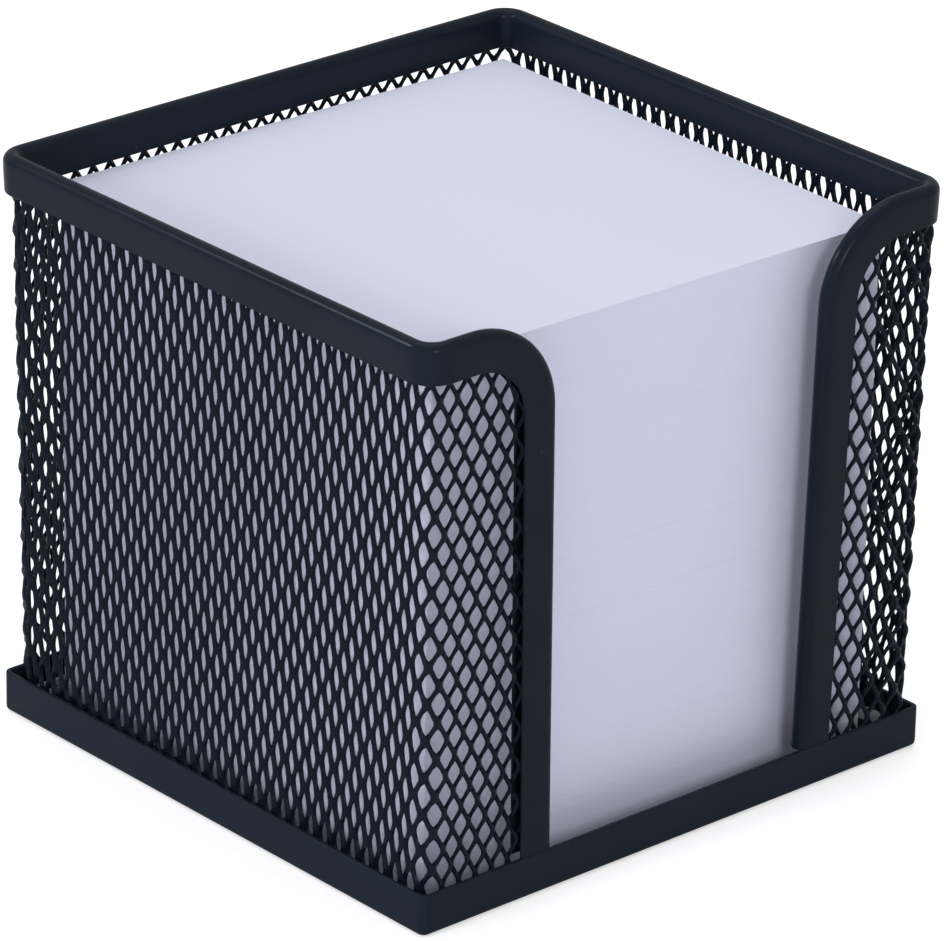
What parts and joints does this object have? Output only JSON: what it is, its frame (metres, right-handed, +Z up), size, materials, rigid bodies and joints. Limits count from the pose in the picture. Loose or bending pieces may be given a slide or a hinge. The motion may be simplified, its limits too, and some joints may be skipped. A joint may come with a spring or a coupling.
{
  "type": "memo cube holder",
  "caption": "Square desk holder of black coated expanded metal with a folded edge channel and a cut-out front, on a lipped sheet tray, filled with a block of loose white note paper.",
  "frame": {"origin": "centre of the holder's plan, on the surface it stands on", "axes": "+Z up; +X to the right as seen from the cut-out front, which faces -Y"},
  "size_m": [0.1072, 0.103, 0.0961],
  "materials": {
    "coat": "satin black coat",
    "net": "satin black coat",
    "paper": "matt uncoated"
  },
  "bodies": {
    "holder": {"base_tray": "coat", "rim_channel": "coat", "wall_return_left": "net", "wall_corner_front_left": "net", "wall_left": "net", "wall_corner_rear_left": "net", "wall_rear": "net", "wall_corner_rear_right": "net", "wall_right": "net", "wall_corner_front_right": "net", "wall_return_right": "net"},
    "paper_block": {"note_pack_1": "paper", "note_pack_2": "paper", "note_pack_3": "paper", "note_pack_4": "paper", "note_pack_5": "paper", "note_pack_6": "paper", "note_pack_7": "paper", "note_pack_8": "paper", "note_pack_9": "paper"},
    "top_sheet": {"top_sheet": "paper"}
  },
  "joints": [
    {"name": "paper_lift_out", "type": "slide", "parent": "holder", "child": "paper_block", "axis": [0, 0, 1], "range_m": [0, 0.105]},
    {"name": "top_sheet_lift", "type": "slide", "parent": "paper_block", "child": "top_sheet", "axis": [0, 0, 1], "range_m": [0, 0.04]}
  ]
}
